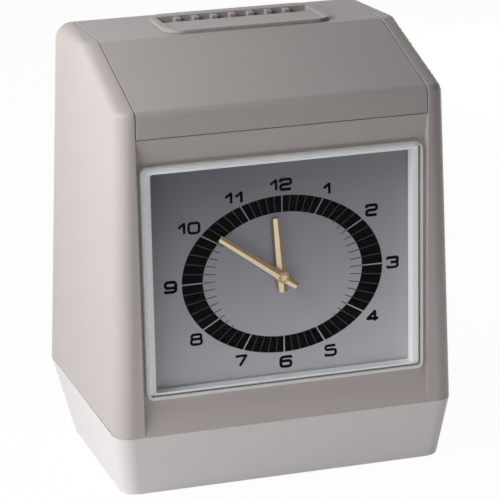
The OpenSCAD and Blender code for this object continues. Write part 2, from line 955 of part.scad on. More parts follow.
module ribbon() {
    y = type_y + type_r + 0.8;
    color([0.1, 0.08, 0.2]) placed()
        translate([card_x - chassis_x, y, print_z - ribbon_h / 2])
            cube([chassis_gap, 0.5, ribbon_h]);
}

module hammer_bracket() {
    y0 = slot_back + plate_t;
    color("lightsteelblue") placed() for (sx = [-1, 1]) difference() {
        translate([card_x + sx * 19 - 1, y0, hammer_z - 6])
            cube([2, hammer_y - y0 + 6, 12]);
        rod_x(2, -90, 90, hammer_y, hammer_z);
    }
}

module hammer_pin() {
    color("silver") placed()
        rod_x(2, card_x - 20.5, card_x + 20.5, hammer_y, hammer_z);
}

module hammer() {
    color("slategray") placed() difference() {
        union() {
            rod_x(5, card_x - 8, card_x + 8, hammer_y, hammer_z);
            translate([card_x - 8, hammer_y - 3, hammer_z])
                cube([16, 6, print_z - hammer_z + 5]);
            translate([card_x - 13, slot_back + plate_t + 1, print_z - 5])
                cube([26, hammer_y - slot_back - plate_t + 2, 10]);
            translate([card_x - 4, hammer_y, hammer_z - 2.5])
                cube([8, 20, 5]);
        }
        rod_x(2 + run, -90, 90, hammer_y, hammer_z);
    }
}

sol_y = hammer_y + 15;
sol_top = hammer_z - 16;

module solenoid_frame() {
    y0 = slot_back + plate_t;
    color("silver") placed() difference() {
        translate([card_x - 14, y0, sol_top - 36])
            cube([28, sol_y + 11 - y0, 36]);
        translate([card_x - 15, sol_y - 11, sol_top - 34])
            cube([30, 20, 32]);
        translate([0, y0 + 2, sol_top - 34])
            translate([card_x - 12, 0, -9])
                cube([24, sol_y - 14 - y0, 60]);
        translate([card_x, sol_y, sol_top - 60])
            cylinder(r = 4 + clear, h = 80);
    }
}

module solenoid_coil() {
    color("firebrick") placed()
        translate([card_x, sol_y - 1, sol_top - 34])
            difference() {
                cylinder(r = 9.6, h = 32);
                translate([0, 1, -1])
                    cylinder(r = 4 + clear, h = 40);
            }
}

module plunger() {
    color("silver") placed()
        translate([card_x, sol_y, 0]) {
            translate([0, 0, sol_top - 24])
                cylinder(r = 4, h = hammer_z - 3.4 - sol_top + 24);
        }
}

module card_lever() {
    color("silver") placed() difference() {
        union() {
            rod_x(4, card_x + 42, card_x + 50, lever_y, lever_z);
            translate([card_x + 44, slot_y + 2.5, lever_z - 9.6])
                cube([4, lever_y - slot_y - 2.5, 3.2]);
            translate([card_x + 44, lever_y - 3, lever_z - 9.6])
                cube([4, 3, 9]);
        }
        rod_x(1.5 + run, -90, 90, lever_y, lever_z);
    }
}

module lever_pin() {
    color("silver") placed()
        rod_x(1.5, card_x + 38, card_x + chassis_x, lever_y, lever_z);
}

module microswitch() {
    color([0.15, 0.15, 0.16]) placed()
        translate([card_x + 30, slot_back + plate_t, stop_z - 8])
            cube([8, 22, 30]);
}

trafo_y = 28;

module transformer_core() {
    color("gray") placed()
        translate([-92, trafo_y, base_top]) {
            cube([56, 10, 46]);
            translate([0, 30, 0])
                cube([56, 10, 46]);
            translate([0, 10, 0])
                cube([56, 20, 5]);
            translate([0, 10, 41])
                cube([56, 20, 5]);
        }
}

module transformer_coil() {
    color("firebrick") placed()
        translate([-90, trafo_y + 10, base_top + 5])
            cube([52, 20, 36]);
}

module power_board() {
    color("darkgreen") placed() {
        translate([14, 24, base_top + 6])
            cube([74, 50, 1.6]);
        for (x = [18, 84], y = [28, 70])
            translate([x, y, base_top])
                cylinder(r = 2.5, h = 6);
    }
}

module terminal_block() {
    color("ivory") placed() difference() {
        translate([20, 30, base_top + 7.6])
            cube([46, 12, 11]);
        for (i = [0 : 4])
            translate([25 + i * 9, 36, base_top + 12])
                cylinder(r = 1.8, h = 20);
    }
}

module lock_barrel() {
    x1 = half_w(lock_z) - 0.6;
    color("silver") placed() difference() {
        union() {
            rod_x(lock_r, x1 - 16, x1, lock_y, lock_z);
            rod_x(lock_r + 2.5, x1 - 6.5, x1 - 4.2, lock_y, lock_z);
        }
        rod_x(4.5 + run, x1 - 30, x1 + 9, lock_y, lock_z);
    }
}

module lock_plug() {
    x1 = half_w(lock_z) - 0.8;
    color("silver") placed() difference() {
        union() {
            rod_x(4.5, x1 - 17, x1, lock_y, lock_z);
            translate([x1 - 19, lock_y - 4, lock_z - 4])
                cube([2, 8, 24]);
        }
        translate([x1 - 5, lock_y - 0.6, lock_z - 3])
            cube([9, 1.2, 6]);
    }
}

case_shell();
lid();
card_inlet();
hinge_brackets();
hinge_pins();
lens();
dial_surround();
dial_plate();
dial_retainer();
retainer_screws();
hour_hand();
minute_hand();
minute_arbor();
hour_wheel();
motion_wheel();
motion_stud();
great_wheel();
movement_front_plate();
movement_back_plate();
movement_pillars();
motor_can();
motor_pinion();
base_plate();
base_screws();
feet();
rear_cover();
rear_screws();
cable_gland();
chassis_left();
chassis_right();
chute_front();
chute_back();
card_stop();
ribbon_deck();
type_bearings();
type_shaft();
minute_type_wheel();
hour_type_wheel();
ratchet_wheel();
spool_left();
spool_right();
ribbon();
hammer_bracket();
hammer();
hammer_pin();
solenoid_frame();
solenoid_coil();
plunger();
card_lever();
lever_pin();
microswitch();
transformer_core();
transformer_coil();
terminal_block();
power_board();
lock_barrel();
lock_plug();
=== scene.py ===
import json
import math

import bmesh
import bpy
from mathutils import Matrix, Vector


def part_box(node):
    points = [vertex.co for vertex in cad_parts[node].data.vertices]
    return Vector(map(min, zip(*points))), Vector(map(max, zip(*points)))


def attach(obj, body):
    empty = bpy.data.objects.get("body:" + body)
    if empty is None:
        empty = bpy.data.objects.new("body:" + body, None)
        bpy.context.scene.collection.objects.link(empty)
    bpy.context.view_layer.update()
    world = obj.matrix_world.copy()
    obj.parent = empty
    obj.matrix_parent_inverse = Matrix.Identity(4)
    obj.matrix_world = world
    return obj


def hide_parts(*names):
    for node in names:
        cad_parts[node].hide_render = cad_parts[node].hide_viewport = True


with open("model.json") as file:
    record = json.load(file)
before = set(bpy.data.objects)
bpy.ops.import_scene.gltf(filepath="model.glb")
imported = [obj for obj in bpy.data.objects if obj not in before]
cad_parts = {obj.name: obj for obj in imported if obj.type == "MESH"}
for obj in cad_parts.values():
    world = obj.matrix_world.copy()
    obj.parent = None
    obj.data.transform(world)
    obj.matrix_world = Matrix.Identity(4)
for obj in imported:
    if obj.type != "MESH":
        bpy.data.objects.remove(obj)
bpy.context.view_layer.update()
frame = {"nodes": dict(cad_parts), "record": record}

MM = 0.001
BODIES = frame["record"]["behaviour"]["bodies"]
BODY_OF_NODE = {node: body for body, nodes in BODIES.items() for node in nodes}
SLOT_OF_NODE = {part["node"]: part["material_slot"] for part in frame["record"]["subparts"]}

# Camera, where the photograph was taken from
CAMERA_PLACE = Vector((-0.5415, -1.7670, 0.6993))
CAMERA_RIGHT = Vector((0.95349207, -0.30084413, -0.01859235))
CAMERA_UP = Vector((0.10446348, 0.27196568, 0.95662012))
CAMERA_FORWARD = Vector((0.28273707, 0.91407192, -0.29074435))
CAMERA_LENS = 198.24
CAMERA_SENSOR = 36
CAMERA_NEAR = 0.05
CAMERA_FAR = 60

# Lamps: place, point that it faces, width, height, watts, and whether gloss mirrors it
LAMPS = {
    "key_left": ((-1.14, -0.14, 0.42), (0, 0, 0.12), 0.7, 0.6, 6.0, False),
    "top_left": ((-0.5, -0.15, 0.62), (-0.05, 0, 0.25), 0.3, 0.3, 3.2, False),
    "low_front": ((-0.55, -0.42, 0.03), (0, -0.1, 0.05), 0.3, 0.05, 0.9, False),
    "low_right": ((0.15, -0.45, 0.03), (0.05, -0.1, 0.03), 0.3, 0.05, 0.26, False),
    "back_fill": ((1.0, 0.9, 0.2), (0, 0, 0.14), 0.8, 0.4, 9.0, True),
}

# Light of the room, the floor's size, and how white the floor is to what sees it directly
AMBIENT = 0.08
FLOOR_WIDE = 16
FLOOR_WHITE = 0.965

# The minute track's middle in the frame, and its two ovals as half width and half height
TRACK_MIDDLE_X = 1.6
TRACK_MIDDLE_Z = 144.9
TRACK_OUTER = (70.9, 55.1)
TRACK_INNER = (56.3, 43.6)

# The lines across the track, and the ticks from its inner oval to a circle, millimetres
MINUTE_GAP = 0.6
HOUR_GAP = 0.95
TICK_CIRCLE = 47.8
TICK_WIDE = 0.7
TICK_SHORTEST = 0.8
TICK_START = 0.2
BLOCK_STEPS = 3
UNDERLAY_STEPS = 15

# The print stands this high on the dial, and starts this far inside its face
PRINT_THICK = 0.08
PRINT_SUNK = 0.01

# Middles of the hour numerals, millimetres from the track's middle
NUMERAL_PLACES = {
    12: (-0.7, 62.5), 1: (31.5, 56.4), 2: (63.5, 38.3), 3: (78.4, -0.2),
    4: (63.7, -37.1), 5: (33.3, -58.1), 6: (1.1, -62.3), 7: (-30.6, -57.9),
    8: (-61.7, -39.0), 9: (-78.7, -0.4), 10: (-65.1, 38.9), 11: (-33.8, 56.6),
}
NUMERAL_HIGH = 9.0
NUMERAL_WIDE = 9.4
NUMERAL_PEN = 2.1
NUMERAL_APART = 1.0
ONE_SHARE = 0.55
ANGULAR_DIGITS = "147"
ANGULAR_RADIUS = 0.3
ROUND_RADIUS = 2.2
ARC_STEPS = 4

# Strokes of the numerals: corners of the pen's path in a box one wide and one high, and if it closes
STROKES = {
    "0": [([(0, 0), (1, 0), (1, 1), (0, 1)], True)],
    "1": [([(0, 0.6), (ONE_SHARE, 1), (ONE_SHARE, 0)], False)],
    "2": [([(0, 0.74), (0, 1), (1, 1), (1, 0.52), (0, 0.48), (0, 0), (1, 0)], False)],
    "3": [([(0, 0.8), (0, 1), (1, 1), (1, 0.52), (0.3, 0.52)], False),
          ([(0.3, 0.52), (1, 0.52), (1, 0), (0, 0), (0, 0.2)], False)],
    "4": [([(0.74, 0), (0.74, 1), (0, 0.26), (1.08, 0.26)], False)],
    "5": [([(0.96, 1), (0, 1), (0, 0.58), (1, 0.58), (1, 0), (0, 0), (0, 0.2)], False)],
    "6": [([(1, 0.82), (1, 1), (0, 1), (0, 0), (1, 0), (1, 0.58), (0, 0.58)], False)],
    "7": [([(-0.05, 1), (1, 1), (0.36, 0)], False)],
    "8": [([(0, 0), (1, 0), (1, 0.54), (0, 0.54)], True),
          ([(0.05, 0.54), (0.95, 0.54), (0.95, 1), (0.05, 1)], True)],
    "9": [([(0, 0.18), (0, 0), (1, 0), (1, 1), (0, 1), (0, 0.42), (1, 0.42)], False)],
}

# The lens: half its front, and its painted highlight, a milk-white band along the raised edge for light
# caught in the clear plastic: its width in millimetres, its share and how far it fades
LENS_HALF = (97.8, 79.8)
RIM_PAINTED_HIGHLIGHT = 2.6
RIM_PAINTED_HIGHLIGHT_SHARE = 0.6
RIM_PAINTED_HIGHLIGHT_FADE = 0.4
LENS_MIRROR = 0.03

# The dial's painted shade and painted reflection: how far its tone moves across its half width and its
# half height, and its middle
DIAL_PAINTED_SHADE = (0.13, -0.46)
DIAL_PAINTED_SHADE_MIDDLE = 0.49

# Height of the case's crease, and the height over which the plinth's painted light begins: a paler tone
# below the crease that stands in for light bounced up from the floor
CREASE_Z = 45 * MM
PLINTH_PAINTED_LIGHT_FADE = 0.4 * MM

# Tray in the card inlet, millimetres from its raised lip and from the top of the case
TRAY_HALF = 55.2
TRAY_FROM_FRONT = 4.6
TRAY_DEEP = 32.4
TRAY_FOOT = 4.5
TRAY_FRONT_HIGH = 0.9
TRAY_REAR_HIGH = 0.5
TRAY_CUTS = 7
TRAY_ROUND = 0.3

# The hour hand: its axis, its lean from twelve in degrees, and how far its end is drawn in
HAND_Z = 144.5
HOUR_HAND_TURN = -4.5
HOUR_HAND_PAST = 25
HOUR_HAND_SHORTER = 1.9

# The hands, and the painted light and shade on their facets: the side the light comes from, how sharply a
# face turns pale towards it, and where paleness starts
HANDS = ("hour_hand", "minute_hand")
PAINTED_LIGHT_SIDE = Vector((-0.85, 0, -0.5))
PAINTED_LIGHT_GAIN = 4
PAINTED_LIGHT_START = 0.35

# Sheets whose small punched holes keep their sharp rims, and the longest edge of such a hole
PUNCHED = ("rear_cover", "base_plate")
HOLE_EDGE = 1.2

# Edges past these angles are sharp, and those of the nodes below are rounded by these millimetres
SHARP_ANGLE = math.radians(21)
HAND_SHARP_ANGLE = math.radians(6)
CREASE_ANGLE = math.radians(3)
EDGE_ROUND = {
    "case_shell": 0.5, "lid": 0.4, "card_inlet": 0.35, "dial_surround": 0.3, "lens": 0.25,
    "rear_cover": 0.3, "base_plate": 0.3, "feet": 0.4, "cable_gland": 0.3,
    "hour_hand": 0.12, "minute_hand": 0.12, "lock_barrel": 0.2, "lock_plug": 0.15,
}
MERGE_WITHIN = 0.002
CREASE_WITHIN = 0.05
FLAT_FACE_WEIGHT = 80

# Places of the Mix node's sockets for colours, and the scale of waves a metre apart
MIX_INPUTS = (0, 6, 7)
MIX_RESULT = 2
WAVE_SCALE = 0.31


# Shader maths

class Pin:
    """An output socket; an expression on it adds Math nodes."""

    def __init__(self, finish, socket):
        self.finish = finish
        self.socket = socket

    def __add__(self, other):
        return self.finish.maths("ADD", self, other)

    def __radd__(self, other):
        return self.finish.maths("ADD", other, self)

    def __sub__(self, other):
        return self.finish.maths("SUBTRACT", self, other)

    def __rsub__(self, other):
        return self.finish.maths("SUBTRACT", other, self)

    def __mul__(self, other):
        return self.finish.maths("MULTIPLY", self, other)

    def __rmul__(self, other):
        return self.finish.maths("MULTIPLY", other, self)

    def clamped(self):
        return self.finish.maths("MINIMUM", self.finish.maths("MAXIMUM", self, 0.0), 1.0)


class Finish:
    """The shader nodes of a material or of the world."""

    def __init__(self, owner):
        self.owner = owner
        owner.use_nodes = True
        self.tree = owner.node_tree
        self.tree.nodes.clear()

    def feed(self, socket, value):
        """Links a pin to a socket, or sets the socket; a colour of three numbers gets its alpha."""
        if isinstance(value, Pin):
            self.tree.links.new(value.socket, socket)
        elif isinstance(value, tuple) and len(value) == 3 and len(socket.default_value) == 4:
            socket.default_value = (*value, 1.0)
        else:
            socket.default_value = value

    def add(self, kind, settings=None, *values, out=0, **named):
        """One node, with its settings and its inputs by place or by name; gives one of its outputs."""
        node = self.tree.nodes.new("ShaderNode" + kind)
        for key, value in (settings or {}).items():
            setattr(node, key, value)
        for place, value in enumerate(values):
            self.feed(node.inputs[place], value)
        for key, value in named.items():
            self.feed(node.inputs[key.replace("_", " ")], value)
        return Pin(self, node.outputs[out])

    def maths(self, operation, *values):
        return self.add("Math", {"operation": operation}, *values)

    def place(self):
        return self.add("TexCoord", out="Object")

    def along(self, axis):
        """Distance along one of the object's axes, in metres."""
        return self.add("SeparateXYZ", None, self.place(), out=axis)

    def noise(self, size_mm, detail, scale=(1, 1, 1)):
        """Noise from 0 to 1, about size_mm across, and finer along an axis by its scale."""
        spread = self.add("Mapping", None, Vector=self.place(), Scale=scale)
        return self.add("TexNoise", {"noise_dimensions": "3D"}, Vector=spread,
                        Scale=1.0 / (size_mm * MM), Detail=detail)

    def threads(self, axis, pitch_mm):
        """Bands across an axis, one for each pitch."""
        return self.add("TexWave", {"wave_type": "BANDS", "bands_direction": axis},
                        Vector=self.place(), Scale=WAVE_SCALE / (pitch_mm * MM))

    def blend(self, share, first, second):
        """A colour between two colours."""
        mixed = self.add("Mix", {"data_type": "RGBA"}, out=MIX_RESULT)
        inputs = mixed.socket.node.inputs
        for place, value in zip(MIX_INPUTS, (share, first, second)):
            self.feed(inputs[place], value)
        return mixed

    def shades(self, share, colour, darker, paler):
        """A colour from a darker to a paler shade of itself."""
        return self.blend(share, shade(colour, -darker), shade(colour, paler))

    def bump(self, height, depth_mm):
        return self.add("Bump", None, Strength=1.0, Distance=depth_mm * MM, Height=height)

    def surface(self, **values):
        return self.done(self.add("BsdfPrincipled", None, **values))

    def done(self, shader, kind="Material"):
        output = self.tree.nodes.new("ShaderNodeOutput" + kind)
        self.tree.links.new(shader.socket, output.inputs["Surface"])
        return self.owner


def new_finish(name):
    return Finish(bpy.data.materials.new(name))


def shade(colour, share):
    """A colour moved towards white, or towards black where share is below 0."""
    return tuple(c + (1 - c) * share if share > 0 else c * (1 + share) for c in colour)


# Finishes

def moulded_plastic(name, colour, painted_light_plinth=None):
    """Spark-textured moulding with a faint mottle, and painted light on the plinth: below the crease it
    is painted paler, standing in for light bounced up from the floor.
    """
    f = new_finish(name)
    mottle = f.noise(60, 4)
    grain = f.noise(0.9, 2)
    tone = mottle * 0.6 + grain * 0.4
    base = f.shades(tone, colour, 0.09, 0.05)
    if painted_light_plinth:
        # painted light: below the crease the plinth turns paler, standing in for light bounced up from
        # the floor
        below = ((CREASE_Z + PLINTH_PAINTED_LIGHT_FADE / 2) - f.along("Z")) * (1 / PLINTH_PAINTED_LIGHT_FADE)
        base = f.blend(below.clamped(), base, f.shades(tone, painted_light_plinth, 0.09, 0.05))
    return f.surface(Base_Color=base, Roughness=mottle * 0.08 + grain * 0.06 + 0.35,
                     Normal=f.bump(grain, 0.012), Specular_IOR_Level=0.25)


def smooth_plastic(name, colour, rough):
    f = new_finish(name)
    mottle = f.noise(25, 3)
    fine = f.noise(0.6, 2)
    return f.surface(Base_Color=f.shades(mottle, colour, 0.04, 0.02),
                     Roughness=mottle * 0.1 + (rough - 0.05), Normal=f.bump(fine, 0.003))


def satin_dial(name, dark, light):
    """A silvered plate with a fine grain, and painted shade and painted reflection: dark at the upper
    left for the surround's shadow and the dim room it mirrors, light at the lower right for the bright
    floor it mirrors.
    """
    f = new_finish(name)
    cloud = f.noise(45, 2)
    grain = f.noise(0.35, 1)
    low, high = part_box("dial_plate")
    middle = (low.z + high.z) / 2
    # painted shade and painted reflection, fixed across the plate: darker towards the upper left, lighter
    # towards the lower right
    painted_shade_sideways = f.along("X") * (DIAL_PAINTED_SHADE[0] / high.x)
    painted_shade_upwards = (f.along("Z") - middle) * (DIAL_PAINTED_SHADE[1] / (high.z - middle))
    share = (painted_shade_sideways + painted_shade_upwards + cloud * 0.08 + DIAL_PAINTED_SHADE_MIDDLE).clamped()
    return f.surface(Base_Color=f.blend(share, dark, light), Metallic=0.2,
                     Roughness=grain * 0.1 + 0.45, Normal=f.bump(grain, 0.004),
                     Specular_IOR_Level=0.2)


def ink(name, colour):
    """Matt printing ink, slightly uneven."""
    f = new_finish(name)
    cloud = f.noise(3, 2)
    return f.surface(Base_Color=f.shades(cloud, colour, 0.3, 0.004),
                     Roughness=cloud * 0.1 + 0.7, Specular_IOR_Level=0.02)


def brushed_metal(name, colour, rough, scale=(30, 30, 1)):
    """Metal with fine scratches drawn out along the axis whose scale is least."""
    f = new_finish(name)
    lines = f.noise(2, 2, scale)
    cloud = f.noise(12, 2)
    return f.surface(Base_Color=f.shades(cloud, colour, 0.08, 0.05), Metallic=1.0,
                     Roughness=lines * 0.16 + (rough - 0.08), Normal=f.bump(lines, 0.004))


def faceted_brass(name, dull, bright):
    """Satin brass with painted light and shade: faces turned to the lit side are paler, faces turned away
    darker, by the attribute the hands carry.
    """
    f = new_finish(name)
    lines = f.noise(0.8, 2)
    facet = f.add("Attribute", {"attribute_name": "facet"}, out="Fac")
    cloud = f.noise(8, 2)
    share = (facet + (cloud - 0.5) * 0.2).clamped()
    return f.surface(Base_Color=f.blend(share, dull, bright), Metallic=0.35,
                     Roughness=lines * 0.12 + 0.36, Normal=f.bump(lines, 0.004))


def painted_steel(name, colour):
    f = new_finish(name)
    peel = f.noise(1.6, 1)
    cloud = f.noise(50, 3)
    return f.surface(Base_Color=f.shades(cloud, colour, 0.06, 0.03),
                     Roughness=cloud * 0.1 + 0.36, Normal=f.bump(peel, 0.02))


def rubber(name, colour):
    f = new_finish(name)
    grain = f.noise(0.5, 2)
    return f.surface(Base_Color=f.shades(grain, colour, 0.2, 0.04),
                     Roughness=grain * 0.2 + 0.65, Normal=f.bump(grain, 0.02))


def woven(name, colour):
    """Inked ribbon: two crossed sets of fine threads."""
    f = new_finish(name)
    cloth = f.maths("MAXIMUM", f.threads("Z", 0.35), f.threads("X", 0.35))
    return f.surface(Base_Color=f.shades(cloth, colour, 0.5, 0.06), Roughness=0.85,
                     Normal=f.bump(cloth, 0.05))


def wound_wire(name, colour):
    """Enamelled wire under tape, wound round the vertical axis."""
    f = new_finish(name)
    turns = f.threads("Z", 0.6)
    cloud = f.noise(6, 2)
    return f.surface(Base_Color=f.shades(turns, colour, 0.35, 0.05),
                     Roughness=cloud * 0.2 + 0.3, Normal=f.bump(turns, 0.1))


def clear_plastic(name):
    """Thin clear moulding that mirrors by its angle, with a painted highlight: a milk-white band along
    its raised edge stands in for the light caught there.
    """
    f = new_finish(name)
    low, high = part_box("lens")
    ripple = f.noise(30, 1)
    mirror = f.add("BsdfGlossy", None, Color=(1, 1, 1), Roughness=0.06, Normal=f.bump(ripple, 0.01))
    through = f.add("BsdfTransparent", None, Color=(0.96, 0.965, 0.97))
    angle = f.add("Fresnel", None, IOR=1.45)
    clear = f.add("MixShader", None, angle * LENS_MIRROR, through, mirror)
    # painted highlight: a milk-white band along the lens's raised edge, standing in for light caught in
    # the clear plastic
    from_middle = (f.along("X"), f.along("Z") - (low.z + high.z) / 2)
    past = [f.maths("ABSOLUTE", distance) - (half - RIM_PAINTED_HIGHLIGHT) * MM
            for distance, half in zip(from_middle, LENS_HALF)]
    painted_rim_highlight = (f.maths("MAXIMUM", *past) * (1 / (RIM_PAINTED_HIGHLIGHT_FADE * MM))).clamped()
    painted_caught_light = f.add("BsdfTranslucent", None, Color=(0.95, 0.95, 0.95))
    white = f.add("BsdfDiffuse", None, Color=(0.95, 0.95, 0.95))
    painted_highlight_milk = f.add("MixShader", None, 0.5, painted_caught_light, white)
    return f.done(f.add("MixShader", None, painted_rim_highlight * RIM_PAINTED_HIGHLIGHT_SHARE, clear, painted_highlight_milk))


def make_finishes():
    """The finish of each material slot, and the two inks."""
    recipes = {
        # the second colour is the plinth's painted light, a paler tone that stands in for the floor's
        # bounce
        "case_plastic": (moulded_plastic, (0.425, 0.38, 0.367), (0.64, 0.605, 0.605)),
        "lid_plastic": (moulded_plastic, (0.41, 0.37, 0.36)),
        "lens_clear": (clear_plastic,),
        "white_plastic": (smooth_plastic, (0.97, 0.965, 0.955), 0.35),
        # dark and light ends of the dial's painted shade and painted reflection
        "dial": (satin_dial, (0.13, 0.13, 0.15), (0.53, 0.52, 0.55)),
        # dark and pale brass of the hands' painted shade and painted light
        "hand_brass": (faceted_brass, (0.34, 0.21, 0.09), (0.86, 0.70, 0.50)),
        "brass": (brushed_metal, (0.72, 0.53, 0.26), 0.28, (1, 1, 30)),
        "steel": (brushed_metal, (0.56, 0.57, 0.58), 0.32),
        "dark_plastic": (smooth_plastic, (0.035, 0.036, 0.038), 0.4),
        "rubber": (rubber, (0.03, 0.03, 0.03)),
        "rear_paint": (painted_steel, (0.30, 0.29, 0.28)),
        "type_metal": (brushed_metal, (0.42, 0.42, 0.43), 0.4),
        "ribbon_cloth": (woven, (0.05, 0.035, 0.09)),
        "coil": (wound_wire, (0.36, 0.15, 0.06)),
        "board": (smooth_plastic, (0.05, 0.16, 0.08), 0.4),
        "ivory": (smooth_plastic, (0.62, 0.57, 0.44), 0.4),
        "print_black": (ink, (0.004, 0.004, 0.004)),
        "print_grey": (ink, (0.085, 0.085, 0.09)),
    }
    return {name: make(name, *values) for name, (make, *values) in recipes.items()}


# Pieces

def add_piece(name, mesh, body, material):
    piece = bpy.data.objects.new(name, mesh)
    bpy.context.scene.collection.objects.link(piece)
    mesh.materials.clear()
    mesh.materials.append(material)
    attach(piece, body)
    return piece


def shorten_hour_hand(bm):
    """Draws the hour hand's square end in, along the hand."""
    turn = math.radians(HOUR_HAND_TURN)
    along = Vector((math.sin(turn), 0, math.cos(turn)))
    hub = Vector((0, 0, HAND_Z * MM))
    for v in bm.verts:
        if (v.co - hub).dot(along) > HOUR_HAND_PAST * MM:
            v.co -= along * HOUR_HAND_SHORTER * MM


def mark_facets(bm):
    """Notes on each face of a hand how far it looks to the lit side, as painted light and shade for the
    brass.
    """
    facet = bm.faces.layers.float.new("facet")
    for face in bm.faces:
        # painted light: faces that look towards the light's side get the paler brass, the others the
        # darker
        facing = face.normal.dot(PAINTED_LIGHT_SIDE) * PAINTED_LIGHT_GAIN + PAINTED_LIGHT_START
        face[facet] = min(max(facing, 0), 1)


def mark_edges(bm, node):
    """Keeps sharp edges sharp, and weighs those that the bevel rounds."""
    weight = bm.edges.layers.float.new("bevel_weight_edge")
    limit = HAND_SHARP_ANGLE if node in HANDS else SHARP_ANGLE
    for edge in bm.edges:
        if len(edge.link_faces) != 2:
            continue
        angle = edge.calc_face_angle(0.0)
        level = all(abs(v.co.z - CREASE_Z) < CREASE_WITHIN * MM for v in edge.verts)
        crease = node == "case_shell" and level and angle > CREASE_ANGLE
        sharp = angle > limit or crease
        small_hole = node in PUNCHED and edge.calc_length() < HOLE_EDGE * MM
        rounded = sharp and node in EDGE_ROUND and not small_hole
        edge.smooth = rounded or not sharp
        edge[weight] = 1.0 if rounded else 0.0


def round_edges(piece, width):
    bevel = piece.modifiers.new("rounded_edges", "BEVEL")
    bevel.limit_method = "WEIGHT"
    bevel.width = width
    bevel.segments = 2
    bevel.use_clamp_overlap = False
    bevel.harden_normals = False
    normals = piece.modifiers.new("flat_faces_flat", "WEIGHTED_NORMAL")
    normals.keep_sharp = True
    normals.weight = FLAT_FACE_WEIGHT


def dress(node, finishes):
    """Stands for a node: its solid, merged, with smooth curves, rounded edges and its finish."""
    slot = SLOT_OF_NODE[node]
    mesh = frame["nodes"][node].data.copy()
    bm = bmesh.new()
    bm.from_mesh(mesh)
    bmesh.ops.remove_doubles(bm, verts=bm.verts, dist=MERGE_WITHIN * MM)
    if node == "hour_hand":
        shorten_hour_hand(bm)
    for face in bm.faces:
        face.smooth = True
    if node in HANDS:
        mark_facets(bm)
    mark_edges(bm, node)
    bm.to_mesh(mesh)
    bm.free()
    piece = add_piece(node + "_finished", mesh, BODY_OF_NODE[node], finishes[slot])
    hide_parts(node)
    if node in EDGE_ROUND:
        round_edges(piece, EDGE_ROUND[node] * MM)


def make_inlet_tray(finishes):
    """The shallow tray that leads a card back to the slot, inside the raised lip."""
    low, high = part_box("card_inlet")
    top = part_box("case_shell")[1].z
    middle = (low.x + high.x) / 2
    half = TRAY_HALF * MM
    front = low.y + TRAY_FROM_FRONT * MM
    rear = front + TRAY_DEEP * MM
    bm = bmesh.new()
    bmesh.ops.create_cube(bm, size=1)
    for v in bm.verts:
        lift = TRAY_FRONT_HIGH if v.co.y < 0 else TRAY_REAR_HIGH
        v.co = Vector((middle + v.co.x * 2 * half, front if v.co.y < 0 else rear,
                       top + (lift if v.co.z > 0 else -TRAY_FOOT) * MM))
    lengthways = [e for e in bm.edges if abs(e.verts[0].co.x - e.verts[1].co.x) > half]
    bmesh.ops.subdivide_edges(bm, edges=lengthways, cuts=TRAY_CUTS)
    sharp = [e for e in bm.edges if e.calc_face_angle(0) > SHARP_ANGLE]
    bmesh.ops.bevel(bm, geom=sharp, offset=TRAY_ROUND * MM, offset_type="OFFSET", segments=3,
                    profile=0.5, affect="EDGES", material=-1)
    mesh = bpy.data.meshes.new("inlet_tray")
    bm.to_mesh(mesh)
    bm.free()
    add_piece("inlet_tray", mesh, "lid", finishes["lid_plastic"])


# Dial print

def oval(half_axes, angle):
    """A point of the oval at a clock angle from twelve, millimetres from its middle."""
    a, b = half_axes
    reach = a * b / math.hypot(b * math.sin(angle), a * math.cos(angle))
    return Vector((reach * math.sin(angle), 0, reach * math.cos(angle)))


def print_piece(name, bm, finish, thick):
    """Gives flat print its thickness, from just inside the dial's face outwards."""
    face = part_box("dial_plate")[0].y
    for v in bm.verts:
        v.co.y = face + PRINT_SUNK * MM
    raised = bmesh.ops.extrude_face_region(bm, geom=bm.faces[:])
    moved = [v for v in raised["geom"] if isinstance(v, bmesh.types.BMVert)]
    bmesh.ops.translate(bm, verts=moved, vec=(0, -thick * MM, 0))
    bmesh.ops.recalc_face_normals(bm, faces=bm.faces)
    mesh = bpy.data.meshes.new(name)
    bm.to_mesh(mesh)
    bm.free()
    add_piece(name, mesh, "case", finish)


def track_cell(bm, start, end, outer, inner, steps):
    """One block of the minute track between two clock angles and two ovals."""
    made = bmesh.ops.create_grid(bm, x_segments=steps, y_segments=1, size=0.5)
    middle = Vector((TRACK_MIDDLE_X, 0, TRACK_MIDDLE_Z))
    for v in made["verts"]:
        angle = start + (end - start) * (v.co.x + 0.5)
        low, high = oval(inner, angle), oval(outer, angle)
        v.co = (middle + low.lerp(high, v.co.y + 0.5)) * MM


def make_minute_track(finishes):
    """Sixty dark blocks on a grey underlay that shows between them as lines, and the grey ticks."""
    blocks = bmesh.new()
    lines = bmesh.new()
    for hour in range(12):
        start, end = (math.radians(30 * h) for h in (hour, hour + 1))
        before, after = (HOUR_GAP / 2 / oval(TRACK_OUTER, a).length for a in (start, end))
        track_cell(lines, start + before, end - after, TRACK_OUTER, TRACK_INNER, UNDERLAY_STEPS)
    for minute in range(60):
        start, end = (math.radians(6 * m) for m in (minute, minute + 1))
        before, after = ((HOUR_GAP if m % 5 == 0 else MINUTE_GAP) / 2 / oval(TRACK_OUTER, a).length
                         for m, a in ((minute, start), (minute + 1, end)))
        track_cell(blocks, start + before, end - after, TRACK_OUTER, TRACK_INNER, BLOCK_STEPS)
    print_piece("minute_track", blocks, finishes["print_black"], PRINT_THICK)
    for minute in range(60):
        angle = math.radians(6 * minute)
        edge = oval(TRACK_INNER, angle).length
        if edge - TICK_CIRCLE > TICK_SHORTEST:
            half = TICK_WIDE / 2 / edge
            outer, inner = (tuple(reach / edge * c for c in TRACK_INNER)
                            for reach in (edge - TICK_START, TICK_CIRCLE))
            track_cell(lines, angle - half, angle + half, outer, inner, 1)
    print_piece("grey_lines", lines, finishes["print_grey"], PRINT_THICK / 2)


